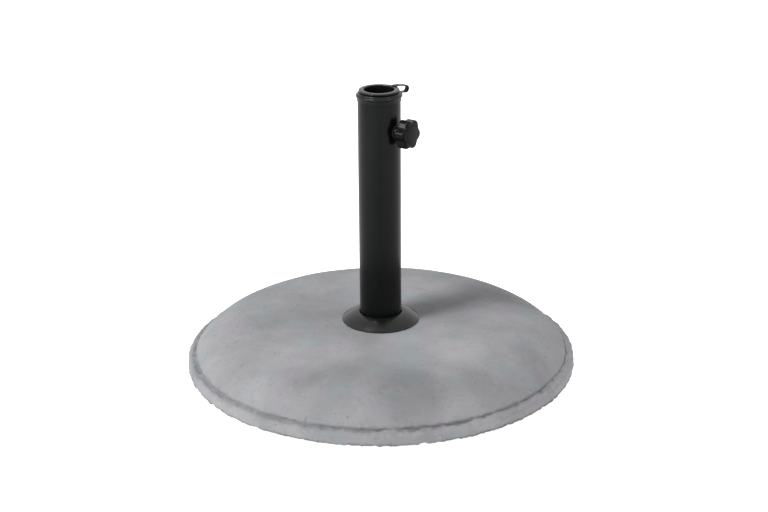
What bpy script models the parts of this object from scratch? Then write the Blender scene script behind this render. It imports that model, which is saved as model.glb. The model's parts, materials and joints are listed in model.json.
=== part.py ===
"""Parasol base: a round cast concrete weight carrying a steel tube with a clamp screw.

Frame: metres, +Z up, origin on the ground at the middle of the base. Sizes below are in
millimetres and are turned into metres by mm().
"""

import math

import bmesh
import bpy
from mathutils import Matrix

# ---------------------------------------------------------------- driving sizes, mm
GAP = 0.3                    # clearance between touching pieces
BASE_RADIUS = 224.5
UNDERSIDE_Z = 1.0            # the concrete stands on its pads, this high off the ground
BEAD_TOP_Z = 14.6
GROOVE_Z = 13.0
TOP_Z = 50.6                 # middle of the crowned top
SEAT_RADIUS = 46.0           # flat seat for the tube's foot

TUBE_RADIUS = 24.0
TUBE_WALL = 1.5
TUBE_TOP_Z = 318.0

PLATE_RADIUS = 38.0
PLATE_THICK = 3.0
SEAT_RING = (12.0, 21.5)     # raised ring inside the tube that the pole stands on
SEAT_RING_RISE = 1.0

ROSETTE_RADIUS = 44.7
ROSETTE_RISE = 10.0
ROSETTE_WALL = 1.3

COLLAR_BORE = 20.5
COLLAR_TOP_Z = 322.0
COLLAR_SKIRT_Z = 313.0
COLLAR_SPIGOT_Z = 308.0
BEAD_RADIUS = 26.0
BEAD_Z = 318.3

REDUCER_BORE = 17.0
REDUCER_FLANGE = 22.7
REDUCER_TOP_Z = 325.0
REDUCER_BOTTOM_Z = 297.0

STRAP_AZIMUTH = 35.0         # degrees from +X towards +Y
STRAP_WIDTH = 7.0
STRAP_THICK = 1.2
STRAP_ROOT = (19.0, 326.1)   # (distance from the tube's axis, height) of its inner end
STRAP_BEND = (34.4, 320.4)   # middle of its half-circle bend
STRAP_BEND_RADIUS = 3.8
STRAP_END = (27.2, 317.7)

CLAMP_AZIMUTH = -35.2        # degrees from +X towards +Y
CLAMP_Z = 279.7
SCREW_RADIUS = 3.9
SCREW_BORE = 4.2
SCREW_TIP_RADIUS = 2.0
BOSS_RADIUS = 6.6
BOSS_FACE = 27.0             # distances from the tube's axis, along the screw
PAD_FACES = (19.3, 21.6)
PAD_RADIUS = 5.0
KNOB_BACK = 31.6
KNOB_FACE = 44.6
KNOB_TIP_RADIUS = 17.4
KNOB_HOLLOW_RADIUS = 9.8       # the hollow in the knob's back, which clears the boss
KNOB_HOLLOW_DEPTH = 3.4
KNOB_SWING = 1.33            # half the height of a lobe
KNOB_LOBES = 6
KNOB_LOBE_TURN = 21.0        # degrees from straight up to the nearest lobe
CAP_RADIUS = 10.5
CAP_THICK = 1.6

BOLT_RADIUS = 5.9
BOLT_BORE = 7.0
BOLT_TOP_Z = 67.0
HEAD_ACROSS_CORNERS = 20.8
NUT_ACROSS_CORNERS = 21.9
NUT_HEIGHT = 10.0
COUNTERBORE_RADIUS = 22.0
COUNTERBORE_Z = 17.0
HEAD_Z = (3.0, 10.5)
SPRING_WASHER_Z = (10.8, 13.4)
WASHER_Z = (13.7, 16.7)

FOOT_PAD_RADIUS = 12.0
FOOT_PAD_THICK = 3.0
FOOT_PAD_CIRCLE = 180.0
FOOT_PAD_COUNT = 4

BASE_STEPS = 80              # facets round the turned pieces
TUBE_STEPS = 48
SMALL_STEPS = 24


def mm(value):
    return value / 1000.0


# ---------------------------------------------------------------- scene set-up
for old in list(bpy.data.objects):
    bpy.data.objects.remove(old, do_unlink=True)

PARTS = bpy.data.collections.new("parasol_base")
CUTTERS = bpy.data.collections.new("cutters")
bpy.context.scene.collection.children.link(PARTS)
bpy.context.scene.collection.children.link(CUTTERS)


def material(name, colour, roughness, metallic=0.0):
    made = bpy.data.materials.new(name)
    made.use_nodes = True
    shader = made.node_tree.nodes["Principled BSDF"]
    shader.inputs["Base Color"].default_value = (*colour, 1.0)
    shader.inputs["Roughness"].default_value = roughness
    shader.inputs["Metallic"].default_value = metallic
    return made


BLACK = (0.012, 0.013, 0.014)
STEEL = (0.55, 0.55, 0.54)


# ---------------------------------------------------------------- shape helpers
def add(name, mesh, collection=PARTS):
    piece = bpy.data.objects.new(name, mesh)
    collection.objects.link(piece)
    return piece


def finish(piece, made):
    """Gives a piece its material and its smooth shading with sharp edges kept."""
    piece.data.materials.clear()
    piece.data.materials.append(made)
    piece.data.shade_smooth()
    piece.data.set_sharp_from_angle(angle=math.radians(35))
    return piece


def cutter(piece):
    """Moves a piece among the cutters, which are hidden from renders."""
    for owner in list(piece.users_collection):
        owner.objects.unlink(piece)
    CUTTERS.objects.link(piece)
    piece.hide_render = True
    piece.display_type = "WIRE"
    return piece


def turned(name, profile, steps):
    """A ring turned about Z. The profile is a closed loop of (radius, z) in mm that runs
    down its outer side and back up its bore."""
    mesh = bpy.data.meshes.new(name)
    points = [(mm(radius), 0.0, mm(z)) for radius, z in profile]
    edges = [(i, (i + 1) % len(points)) for i in range(len(points))]
    mesh.from_pydata(points, edges, [])
    piece = add(name, mesh)
    spin = piece.modifiers.new("turn", "SCREW")
    spin.axis = "Z"
    spin.steps = steps
    spin.render_steps = steps
    spin.use_merge_vertices = True
    spin.merge_threshold = 0.00001
    return piece


def cylinder(name, radius, low, high, steps=SMALL_STEPS, centre=(0.0, 0.0)):
    """A solid cylinder along Z between two heights in mm."""
    mesh = bpy.data.meshes.new(name)
    shape = bmesh.new()
    middle = Matrix.Translation((mm(centre[0]), mm(centre[1]), mm((low + high) / 2)))
    bmesh.ops.create_cone(
        shape, cap_ends=True, cap_tris=False, segments=steps, radius1=mm(radius),
        radius2=mm(radius), depth=mm(high - low), matrix=middle)
    shape.to_mesh(mesh)
    shape.free()
    return add(name, mesh)


def outline_solid(name, points, low, high):
    """A flat outline in mm, as a filled curve, extruded along Z and made a mesh."""
    curve = bpy.data.curves.new(name, "CURVE")
    curve.dimensions = "2D"
    curve.fill_mode = "BOTH"
    curve.extrude = mm((high - low) / 2)
    spline = curve.splines.new("POLY")
    spline.points.add(len(points) - 1)
    for point, (x, y) in zip(spline.points, points):
        point.co = (mm(x), mm(y), 0.0, 1.0)
    spline.use_cyclic_u = True
    guide = add(name + "_outline", curve)
    guide.location.z = mm((high + low) / 2)
    bpy.context.view_layer.update()
    depsgraph = bpy.context.evaluated_depsgraph_get()
    mesh = bpy.data.meshes.new_from_object(guide.evaluated_get(depsgraph))
    mesh.name = name
    shape = bmesh.new()
    shape.from_mesh(mesh)
    bmesh.ops.remove_doubles(shape, verts=shape.verts, dist=0.00001)
    bmesh.ops.translate(shape, verts=shape.verts, vec=guide.location)
    bmesh.ops.recalc_face_normals(shape, faces=shape.faces)
    shape.to_mesh(mesh)
    shape.free()
    bpy.data.objects.remove(guide, do_unlink=True)
    return add(name, mesh)


def boolean(piece, tool, operation="DIFFERENCE"):
    cut = piece.modifiers.new(tool.name, "BOOLEAN")
    cut.operation = operation
    cut.solver = "EXACT"
    cut.object = cutter(tool)


def arc(centre, radius, start, end, count):
    """Points along an arc from one angle to another, in degrees, both ends included."""
    found = []
    for i in range(count + 1):
        angle = math.radians(start + (end - start) * i / count)
        x = centre[0] + radius * math.cos(angle)
        y = centre[1] + radius * math.sin(angle)
        found.append((x, y))
    return found


# The clamp's pieces are modelled along this empty's own Z, which is the screw's axis.
# Their local z is the distance from the tube's axis.
clamp_axis = bpy.data.objects.new("clamp_axis", None)
clamp_axis.location = (0.0, 0.0, mm(CLAMP_Z))
clamp_axis.rotation_euler = (0.0, math.radians(90), math.radians(CLAMP_AZIMUTH))
PARTS.objects.link(clamp_axis)


def on_clamp_axis(piece):
    piece.parent = clamp_axis
    return piece


# ---------------------------------------------------------------- concrete and its feet
def bezier(start, first, second, end, count):
    """Points along a cubic curve, both ends included."""
    found = []
    for i in range(count + 1):
        t = i / count
        weights = ((1 - t) ** 3, 3 * t * (1 - t) ** 2, 3 * t * t * (1 - t), t ** 3)
        corners = (start, first, second, end)
        x = sum(weight * corner[0] for weight, corner in zip(weights, corners))
        y = sum(weight * corner[1] for weight, corner in zip(weights, corners))
        found.append((x, y))
    return found


def shoulder(count=9):
    """The rounded shoulder between the nearly flat top and the groove, steep at its foot."""
    crown = (120.0, TOP_Z - 0.9)
    crown_handle = (176.0, TOP_Z - 1.3)
    foot = (BASE_RADIUS - 10.4, GROOVE_Z + 5.8)
    foot_handle = (foot[0] - 14.4, foot[1] + 19.2)
    return bezier(crown, crown_handle, foot_handle, foot, count)


def concrete_base():
    bead = arc((BASE_RADIUS - 4.6, BEAD_TOP_Z - 4.2), 4.2, 105, 0, 4)
    profile = [(BOLT_BORE, TOP_Z - GAP), (SEAT_RADIUS, TOP_Z - GAP)]
    profile += shoulder()
    profile += [(BASE_RADIUS - 10.2, GROOVE_Z), (BASE_RADIUS - 8.2, GROOVE_Z - 0.6)]
    profile += bead
    profile += [
        (BASE_RADIUS, UNDERSIDE_Z + 2.0),
        (BASE_RADIUS - 1.0, UNDERSIDE_Z),
        (COUNTERBORE_RADIUS, UNDERSIDE_Z),
        (COUNTERBORE_RADIUS, COUNTERBORE_Z),
        (BOLT_BORE, COUNTERBORE_Z),
    ]
    piece = turned("concrete_base", profile, BASE_STEPS)
    for i, centre in enumerate(foot_pad_centres()):
        pocket_top = FOOT_PAD_THICK + GAP
        pocket = cylinder(
            f"foot_pad_pocket_{i + 1}", FOOT_PAD_RADIUS + 0.5, -5.0, pocket_top,
            centre=centre)
        boolean(piece, pocket)
    finish(piece, material("concrete", (0.36, 0.36, 0.37), 0.92))


def foot_pad_centres():
    return [
        (
            FOOT_PAD_CIRCLE * math.cos(math.radians(45 + 360 * i / FOOT_PAD_COUNT)),
            FOOT_PAD_CIRCLE * math.sin(math.radians(45 + 360 * i / FOOT_PAD_COUNT)),
        )
        for i in range(FOOT_PAD_COUNT)
    ]


def foot_pads():
    for i, centre in enumerate(foot_pad_centres()):
        pad = cylinder(f"foot_pad_{i + 1}", FOOT_PAD_RADIUS, 0.0, FOOT_PAD_THICK, centre=centre)
        finish(pad, material(f"rubber_{i + 1}", (0.03, 0.03, 0.03), 0.9))


# ---------------------------------------------------------------- tube and its fixing
PLATE_BOTTOM_Z = TOP_Z
PLATE_TOP_Z = PLATE_BOTTOM_Z + PLATE_THICK
TUBE_BOTTOM_Z = PLATE_TOP_Z + GAP
TUBE_BORE = TUBE_RADIUS - TUBE_WALL


def stand_tube():
    profile = [
        (TUBE_BORE, TUBE_TOP_Z),
        (TUBE_RADIUS, TUBE_TOP_Z),
        (TUBE_RADIUS, TUBE_BOTTOM_Z),
        (TUBE_BORE, TUBE_BOTTOM_Z),
    ]
    piece = turned("stand_tube", profile, TUBE_STEPS)
    hole = cylinder("screw_hole", SCREW_BORE + 0.5, TUBE_BORE - 8, TUBE_RADIUS + 8)
    boolean(piece, on_clamp_axis(hole))
    finish(piece, material("black_powder_coat", BLACK, 0.35))


def tube_foot_plate():
    inner, outer = SEAT_RING
    profile = [
        (BOLT_BORE, PLATE_TOP_Z),
        (inner, PLATE_TOP_Z),
        (inner, PLATE_TOP_Z + SEAT_RING_RISE),
        (outer, PLATE_TOP_Z + SEAT_RING_RISE),
        (outer, PLATE_TOP_Z),
        (PLATE_RADIUS, PLATE_TOP_Z),
        (PLATE_RADIUS, PLATE_BOTTOM_Z),
        (BOLT_BORE, PLATE_BOTTOM_Z),
    ]
    piece = turned("tube_foot_plate", profile, TUBE_STEPS)
    finish(piece, material("coated_plate", BLACK, 0.4))


def tie_nut():
    low = PLATE_TOP_Z + GAP
    piece = cylinder("tie_nut", NUT_ACROSS_CORNERS / 2, low, low + NUT_HEIGHT, steps=6)
    bore = cylinder("tie_nut_bore", BOLT_RADIUS + GAP, low - 5, low + NUT_HEIGHT + 5)
    boolean(piece, bore)
    finish(piece, material("nut_steel", STEEL, 0.4, 1.0))


def tie_bolt():
    piece = cylinder("tie_bolt", BOLT_RADIUS, HEAD_Z[1] - 2.0, BOLT_TOP_Z)
    head = cylinder("tie_bolt_head", HEAD_ACROSS_CORNERS / 2, *HEAD_Z, steps=6)
    boolean(piece, head, "UNION")
    finish(piece, material("bolt_steel", STEEL, 0.4, 1.0))


def washer(name, radius, heights):
    low, high = heights
    bore = BOLT_RADIUS + 0.6
    profile = [(bore, high), (radius, high), (radius, low), (bore, low)]
    return turned(name, profile, SMALL_STEPS)


def tie_bolt_washers():
    wide = washer("tie_bolt_washer", 19.0, WASHER_Z)
    finish(wide, material("washer_steel", STEEL, 0.4, 1.0))
    split = washer("tie_bolt_spring_washer", 10.6, SPRING_WASHER_Z)
    slot = cylinder("washer_slot", 1.0, 0.0, 30.0, steps=4)
    slot.scale = (1.0, 12.0, 1.0)
    slot.location = (0.0, mm(9.0), 0.0)
    boolean(split, slot)
    finish(split, material("spring_washer_steel", STEEL, 0.4, 1.0))


# ---------------------------------------------------------------- plastic trim
def rosette_height(radius):
    """The rosette's upper surface: highest at the tube, falling ever steeper to the rim."""
    inner = TUBE_RADIUS + 2 * GAP
    along = (radius - inner) / (ROSETTE_RADIUS - inner)
    return TOP_Z + GAP + ROSETTE_RISE * (1.0 - along ** 1.6)


def cover_rosette(count=6):
    inner = TUBE_RADIUS + 2 * GAP
    bottom = TOP_Z + GAP
    radii = [inner + (ROSETTE_RADIUS - inner) * i / count for i in range(count + 1)]
    outer = [(radius, rosette_height(radius)) for radius in radii]
    under = [(radius, rosette_height(radius) - ROSETTE_WALL) for radius in radii[:-1]]
    profile = outer + [(ROSETTE_RADIUS, bottom - 0.2), (ROSETTE_RADIUS - 1.2, bottom - 0.2)]
    profile += reversed(under)
    piece = turned("cover_rosette", profile, TUBE_STEPS)
    finish(piece, material("black_cover_plastic", (0.035, 0.035, 0.037), 0.55))


def top_collar():
    slot_top = TUBE_TOP_Z + GAP
    bead = arc((BEAD_RADIUS - 1.8, BEAD_Z), 1.8, 45, -50, 4)
    profile = [(COLLAR_BORE, COLLAR_TOP_Z), (BEAD_RADIUS - 2.6, COLLAR_TOP_Z)]
    profile += bead
    profile += [
        (TUBE_RADIUS + 0.8, COLLAR_SKIRT_Z),
        (TUBE_RADIUS + GAP, COLLAR_SKIRT_Z),
        (TUBE_RADIUS + GAP, slot_top),
        (TUBE_BORE - GAP, slot_top),
        (TUBE_BORE - GAP, COLLAR_SPIGOT_Z),
        (COLLAR_BORE, COLLAR_SPIGOT_Z),
    ]
    piece = turned("top_collar", profile, TUBE_STEPS)
    finish(piece, material("black_collar_plastic", BLACK, 0.4))


def reducer_sleeve():
    flange_bottom = COLLAR_TOP_Z + GAP
    sleeve = COLLAR_BORE - GAP
    profile = [(REDUCER_BORE, REDUCER_TOP_Z - 0.8), (REDUCER_BORE + 0.8, REDUCER_TOP_Z)]
    profile += arc((REDUCER_FLANGE - 1.5, REDUCER_TOP_Z - 1.5), 1.5, 90, 0, 3)
    profile += [
        (REDUCER_FLANGE, flange_bottom),
        (sleeve, flange_bottom),
        (sleeve, REDUCER_BOTTOM_Z),
        (REDUCER_BORE, REDUCER_BOTTOM_Z),
    ]
    piece = turned("reducer_sleeve", profile, TUBE_STEPS)
    finish(piece, material("black_reducer_plastic", BLACK, 0.4))


def strap_path():
    """The strap's centre line as (distance from the tube's axis, height): out over the
    flange, round a half-circle bend and back in to the collar's bead."""
    return [STRAP_ROOT, *arc(STRAP_BEND, STRAP_BEND_RADIUS, 85, -100, 10), STRAP_END]


def offset_path(path, distance):
    """A copy of an open path, moved sideways to its left by a distance."""
    moved = []
    for i, (x, y) in enumerate(path):
        before = path[max(i - 1, 0)]
        after = path[min(i + 1, len(path) - 1)]
        run = (after[0] - before[0], after[1] - before[1])
        length = math.hypot(*run)
        moved.append((x - distance * run[1] / length, y + distance * run[0] / length))
    return moved


def tether_strap():
    path = strap_path()
    half = STRAP_THICK / 2
    outline = offset_path(path, half) + offset_path(path, -half)[::-1]
    piece = outline_solid("tether_strap", outline, -STRAP_WIDTH / 2, STRAP_WIDTH / 2)
    piece.rotation_euler = (math.radians(90), 0.0, math.radians(STRAP_AZIMUTH))
    finish(piece, material("black_strap_plastic", BLACK, 0.45))


# ---------------------------------------------------------------- clamp screw
def clamp_boss():
    piece = on_clamp_axis(cylinder("clamp_boss", BOSS_RADIUS, TUBE_RADIUS - 4, BOSS_FACE))
    bore = on_clamp_axis(cylinder("clamp_boss_bore", SCREW_BORE, 10, BOSS_FACE + 5))
    saddle = cylinder(
        "clamp_boss_saddle", TUBE_RADIUS + GAP, CLAMP_Z - 20, CLAMP_Z + 20, steps=TUBE_STEPS)
    boolean(piece, bore)
    boolean(piece, saddle)
    finish(piece, material("boss_coat", BLACK, 0.4))


def clamp_pad():
    piece = on_clamp_axis(cylinder("clamp_pad", PAD_RADIUS, *PAD_FACES))
    socket = cylinder("clamp_pad_socket", SCREW_TIP_RADIUS + GAP, PAD_FACES[1] - 1.4, 30)
    boolean(piece, on_clamp_axis(socket))
    finish(piece, material("pad_plastic", (0.05, 0.05, 0.05), 0.5))


def clamp_screw():
    shank_start = PAD_FACES[1] + GAP
    shank = cylinder("clamp_screw", SCREW_RADIUS, shank_start, KNOB_FACE - 3.7)
    tip = cylinder("clamp_screw_tip", SCREW_TIP_RADIUS, shank_start - 1.3, shank_start + 2)
    boolean(on_clamp_axis(shank), on_clamp_axis(tip), "UNION")
    finish(shank, material("screw_steel", STEEL, 0.35, 1.0))


def knob_ring(size, lobed, along, per_lobe=10):
    """One section of the knob as (x, y, z) in mm: a circle with a share of the full lobes.
    Local -X points straight up."""
    swing = KNOB_SWING * lobed
    count = KNOB_LOBES * per_lobe
    first = math.pi + math.radians(KNOB_LOBE_TURN)
    ring = []
    for i in range(count):
        angle = 2 * math.pi * i / count
        wave = math.cos(KNOB_LOBES * (angle - first)) - 1.0
        radius = size * (KNOB_TIP_RADIUS + swing * wave)
        ring.append((radius * math.cos(angle), radius * math.sin(angle), along))
    return ring


def loft(name, rings):
    """A closed solid through sections with equal numbers of points, capped at both ends."""
    mesh = bpy.data.meshes.new(name)
    shape = bmesh.new()
    loops = []
    for ring in rings:
        loops.append([shape.verts.new([mm(value) for value in point]) for point in ring])
    for low, high in zip(loops, loops[1:]):
        for i in range(len(low)):
            after = (i + 1) % len(low)
            shape.faces.new((low[i], low[after], high[after], high[i]))
    shape.faces.new(loops[0][::-1])
    shape.faces.new(loops[-1])
    shape.to_mesh(mesh)
    shape.free()
    return add(name, mesh)


def clamp_knob():
    """A lobed knob: a thick disc with a narrow rounding at its back and a wider one in front."""
    sections = [
        (0.880, 0.7, KNOB_BACK),
        (0.945, 0.9, KNOB_BACK + 0.4),
        (0.985, 1.0, KNOB_BACK + 1.0),
        (1.000, 1.0, KNOB_BACK + 1.9),
        (1.000, 1.0, KNOB_FACE - 3.0),
        (0.985, 1.0, KNOB_FACE - 1.8),
        (0.945, 1.0, KNOB_FACE - 0.7),
        (0.887, 1.0, KNOB_FACE),
    ]
    piece = loft("clamp_knob", [knob_ring(*section) for section in sections])
    bore = cylinder("clamp_knob_bore", SCREW_BORE, KNOB_BACK - 5, KNOB_FACE - 3.4)
    hollow = cylinder(
        "clamp_knob_hollow", KNOB_HOLLOW_RADIUS, KNOB_BACK - 6, KNOB_BACK + KNOB_HOLLOW_DEPTH)
    recess = cylinder(
        "knob_cap_recess", CAP_RADIUS + GAP, KNOB_FACE - CAP_THICK, KNOB_FACE + 5,
        steps=TUBE_STEPS)
    boolean(piece, on_clamp_axis(hollow))
    boolean(piece, on_clamp_axis(bore))
    boolean(piece, on_clamp_axis(recess))
    finish(on_clamp_axis(piece), material("black_knob_plastic", BLACK, 0.4))


def knob_cap():
    low = KNOB_FACE - CAP_THICK + GAP
    piece = on_clamp_axis(cylinder("knob_cap", CAP_RADIUS, low, KNOB_FACE, steps=TUBE_STEPS))
    finish(piece, material("black_cap_plastic", BLACK, 0.45))


concrete_base()
foot_pads()
stand_tube()
tube_foot_plate()
tie_nut()
tie_bolt()
tie_bolt_washers()
cover_rosette()
top_collar()
reducer_sleeve()
tether_strap()
clamp_boss()
clamp_pad()
clamp_screw()
clamp_knob()
knob_cap()
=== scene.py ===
"""Looks of the parasol base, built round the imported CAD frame.

The frame is in metres, +Z up, with its origin on the ground at the middle of the base.
Shapes are written in millimetres; node materials, lights and the camera are in metres.
"""

import json
import math
import random

import bmesh
import bpy
import numpy as np
from mathutils import Matrix, Vector, noise

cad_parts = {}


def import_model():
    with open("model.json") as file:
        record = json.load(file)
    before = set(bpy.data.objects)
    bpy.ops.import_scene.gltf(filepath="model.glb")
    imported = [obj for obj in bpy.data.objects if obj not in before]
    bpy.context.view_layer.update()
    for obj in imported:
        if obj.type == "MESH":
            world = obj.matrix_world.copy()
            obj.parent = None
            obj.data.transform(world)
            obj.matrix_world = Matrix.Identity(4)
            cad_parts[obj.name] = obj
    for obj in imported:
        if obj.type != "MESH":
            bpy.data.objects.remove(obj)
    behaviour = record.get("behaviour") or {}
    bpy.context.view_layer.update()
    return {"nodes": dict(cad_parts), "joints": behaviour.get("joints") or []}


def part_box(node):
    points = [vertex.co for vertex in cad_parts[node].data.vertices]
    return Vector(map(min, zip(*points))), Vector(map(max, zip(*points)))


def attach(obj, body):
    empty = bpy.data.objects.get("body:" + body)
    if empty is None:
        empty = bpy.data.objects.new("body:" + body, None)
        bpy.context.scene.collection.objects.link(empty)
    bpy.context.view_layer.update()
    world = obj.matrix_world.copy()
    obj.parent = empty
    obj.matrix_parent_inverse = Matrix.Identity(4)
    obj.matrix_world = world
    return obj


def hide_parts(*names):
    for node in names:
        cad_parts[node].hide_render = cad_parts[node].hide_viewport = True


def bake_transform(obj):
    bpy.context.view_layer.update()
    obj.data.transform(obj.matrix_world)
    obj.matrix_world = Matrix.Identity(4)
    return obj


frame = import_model()


# ======================== sizes taken from the CAD
def span(node):
    """(outer radius, lowest z, highest z) of a CAD node turned about the tube's axis."""
    low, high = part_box(node)
    return high.x * 1000, low.z * 1000, high.z * 1000


BASE_RADIUS, UNDERSIDE_Z, SEAT_Z = span("concrete_base")
PLATE_RADIUS, PLATE_BOTTOM_Z, RING_TOP_Z = span("tube_foot_plate")
TUBE_RADIUS, TUBE_BOTTOM_Z, TUBE_TOP_Z = span("stand_tube")
ROSETTE_RADIUS, ROSETTE_BOTTOM_Z, ROSETTE_TOP_Z = span("cover_rosette")
BEAD_RADIUS, SPIGOT_Z, COLLAR_TOP_Z = span("top_collar")
FLANGE_RADIUS, SLEEVE_BOTTOM_Z, REDUCER_TOP_Z = span("reducer_sleeve")
TUBE_BORE = TUBE_RADIUS - 1.5
COLLAR_BORE = 20.5
REDUCER_BORE = 17.0

knob_joint = next(joint for joint in frame["joints"] if joint["name"] == "knob_turn")
CLAMP_POINT = Vector(knob_joint["pos_m"])
CLAMP_AXIS = Vector(knob_joint["axis"]).normalized()
CLAMP_FRAME = Matrix.Translation(CLAMP_POINT) @ Matrix((
    Vector((0, 0, -1)),
    CLAMP_AXIS.cross(Vector((0, 0, -1))),
    CLAMP_AXIS,
)).transposed().to_4x4()


def along_clamp(node):
    """(nearest, farthest) distance of a CAD node from the tube's axis, along the screw."""
    vertices = frame["nodes"][node].data.vertices
    reached = [(vertex.co - CLAMP_POINT).dot(CLAMP_AXIS) * 1000 for vertex in vertices]
    return min(reached), max(reached)


def off_clamp(node):
    """The farthest that a CAD node reaches from the screw's axis."""
    vertices = frame["nodes"][node].data.vertices
    return max((vertex.co - CLAMP_POINT).cross(CLAMP_AXIS).length for vertex in vertices) * 1000


BOSS_FACE = along_clamp("clamp_boss")[1]
BOSS_RADIUS = off_clamp("clamp_boss")
PAD_START, PAD_END = along_clamp("clamp_pad")
PAD_RADIUS = off_clamp("clamp_pad")
KNOB_BACK, KNOB_FACE = along_clamp("clamp_knob")
KNOB_TIP_RADIUS = off_clamp("clamp_knob")
CAP_LOW = along_clamp("knob_cap")[0]
CAP_RADIUS = off_clamp("knob_cap")
SCREW_END = along_clamp("clamp_screw")[1]


# ======================== mesh helpers
class Shape:
    """Points and faces gathered ring by ring."""

    def __init__(self, rings=(), closed=False):
        self.points = []
        self.faces = []
        self.skin(rings, closed)

    def bridge(self, upper, lower):
        """Faces between two rings. A ring of one point closes the surface at a pole."""
        count = max(len(upper), len(lower))
        for i in range(count):
            after = (i + 1) % count
            if len(upper) == 1:
                self.faces.append((upper[0], lower[i], lower[after]))
            elif len(lower) == 1:
                self.faces.append((upper[i], lower[0], upper[after]))
            else:
                self.faces.append((upper[i], lower[i], lower[after], upper[after]))

    def skin(self, rings, closed=False):
        """Faces along a row of rings, and from the last one to the first if it is closed."""
        rows = []
        for points in rings:
            start = len(self.points)
            self.points.extend(points)
            rows.append(range(start, len(self.points)))
        for upper, lower in zip(rows, rows[1:]):
            self.bridge(upper, lower)
        if closed:
            self.bridge(rows[-1], rows[0])
        return rows


def full_turn(steps):
    return [2 * math.pi * i / steps for i in range(steps)]


def wrapped(angle):
    """The same angle, brought to within half a turn either side of 0."""
    return (angle + math.pi) % (2 * math.pi) - math.pi


def polar(radius, angle, z):
    return (radius * math.cos(angle), radius * math.sin(angle), z)


def circle(radius, z, steps):
    """A level circle, or its middle alone where the radius is 0."""
    if radius == 0:
        return [(0.0, 0.0, z)]
    return [polar(radius, angle, z) for angle in full_turn(steps)]


def lathe(profile, steps, closed=True, shape=None):
    """Turns a profile of (radius, z) that runs down its outer side and back up its bore."""
    shape = shape or Shape()
    shape.skin([circle(radius, z, steps) for radius, z in profile], closed)
    return shape


def sweep(rings, closed=False):
    """A shape through sections that run round inside out. An open one gets a face at each end."""
    shape = Shape()
    rows = shape.skin(rings, closed)
    if not closed:
        shape.faces.append(tuple(rows[0][::-1]))
        shape.faces.append(tuple(rows[-1]))
    shape.faces = [face[::-1] for face in shape.faces]
    return shape


def rounded(corners, count=4, closed=True):
    """An outline through (x, y, radius) corners, with each corner turned into an arc."""
    outline = []
    for i, (x, y, radius) in enumerate(corners):
        end_corner = not closed and i in (0, len(corners) - 1)
        if radius <= 0 or end_corner:
            outline.append((x, y))
            continue
        here = Vector((x, y))
        back = (Vector(corners[i - 1][:2]) - here).normalized()
        ahead = (Vector(corners[(i + 1) % len(corners)][:2]) - here).normalized()
        half = back.angle(ahead) / 2
        centre = here + (back + ahead).normalized() * (radius / math.sin(half))
        first = here + back * (radius / math.tan(half)) - centre
        last = here + ahead * (radius / math.tan(half)) - centre
        start = math.atan2(first.y, first.x)
        end = start + wrapped(math.atan2(last.y, last.x) - start)
        outline += arc(centre, radius, math.degrees(start), math.degrees(end), count)
    return outline


def arc(centre, radius, start, end, count):
    """Points along an arc from one angle to another, in degrees, both ends included."""
    found = []
    for i in range(count + 1):
        x, y, _ = polar(radius, math.radians(start + (end - start) * i / count), 0.0)
        found.append((centre[0] + x, centre[1] + y))
    return found


def resampled(path, spacing):
    """The same open path with points at about equal spacing."""
    found = []
    for start, end in zip(path, path[1:]):
        length = math.dist(start, end)
        count = max(1, round(length / spacing))
        for i in range(count):
            t = i / count
            found.append((start[0] + (end[0] - start[0]) * t, start[1] + (end[1] - start[1]) * t))
    found.append(path[-1])
    return found


def spline(path, count):
    """A smooth curve through the points of an open path."""
    found = []
    for i in range(len(path) - 1):
        p0 = Vector(path[max(i - 1, 0)])
        p1 = Vector(path[i])
        p2 = Vector(path[i + 1])
        p3 = Vector(path[min(i + 2, len(path) - 1)])
        for k in range(count):
            t = k / count
            point = 0.5 * (
                2 * p1 + (p2 - p0) * t + (2 * p0 - 5 * p1 + 4 * p2 - p3) * t * t
                + (3 * p1 - p0 - 3 * p2 + p3) * t ** 3)
            found.append((point.x, point.y))
    found.append(path[-1])
    return found


def smoothstep(low, high, value):
    """0 at low, 1 at high, smooth between them and level beyond."""
    t = min(max((value - low) / (high - low), 0.0), 1.0)
    return t * t * (3 - 2 * t)


def shade(mesh, sharp):
    """Smooth shading, with the edges steeper than an angle in degrees left sharp."""
    mesh.shade_smooth()
    mesh.set_sharp_from_angle(angle=math.radians(sharp))


def make(name, shape, place=None, sharp=42):
    """A mesh object from a shape in mm, moved by a matrix in metres."""
    mesh = bpy.data.meshes.new(name)
    mesh.from_pydata([(x / 1000, y / 1000, z / 1000) for x, y, z in shape.points], [], shape.faces)
    if place:
        mesh.transform(place)
    mesh.validate()
    shade(mesh, sharp)
    piece = bpy.data.objects.new(name, mesh)
    bpy.context.scene.collection.objects.link(piece)
    return piece


def carve(piece, tools, sharp=42):
    """Cuts the tools out of a piece, deletes them and closes the seams that cuts can leave."""
    for tool in tools:
        cut = piece.modifiers.new(tool.name, "BOOLEAN")
        cut.operation = "DIFFERENCE"
        cut.solver = "EXACT"
        cut.object = tool
    bpy.context.view_layer.update()
    evaluated = piece.evaluated_get(bpy.context.evaluated_depsgraph_get())
    mesh = bpy.data.meshes.new_from_object(evaluated)
    piece.modifiers.clear()
    piece.data = mesh
    mesh.name = piece.name
    seams = bmesh.new()
    seams.from_mesh(mesh)
    bmesh.ops.remove_doubles(seams, verts=seams.verts, dist=1e-6)
    seams.to_mesh(mesh)
    seams.free()
    for tool in tools:
        bpy.data.objects.remove(tool, do_unlink=True)
    shade(mesh, sharp)


def dress(piece, body, made, slot, *nodes):
    """Gives a piece its material, the body it rides on and the CAD nodes it stands for."""
    piece.data.materials.clear()
    piece.data.materials.append(made)
    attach(piece, body)
    if nodes:
        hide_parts(*nodes)


# ======================== material helpers
COLOUR_A, COLOUR_B, COLOUR_RESULT = 6, 7, 2     # the colour sockets of a mix node


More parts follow.
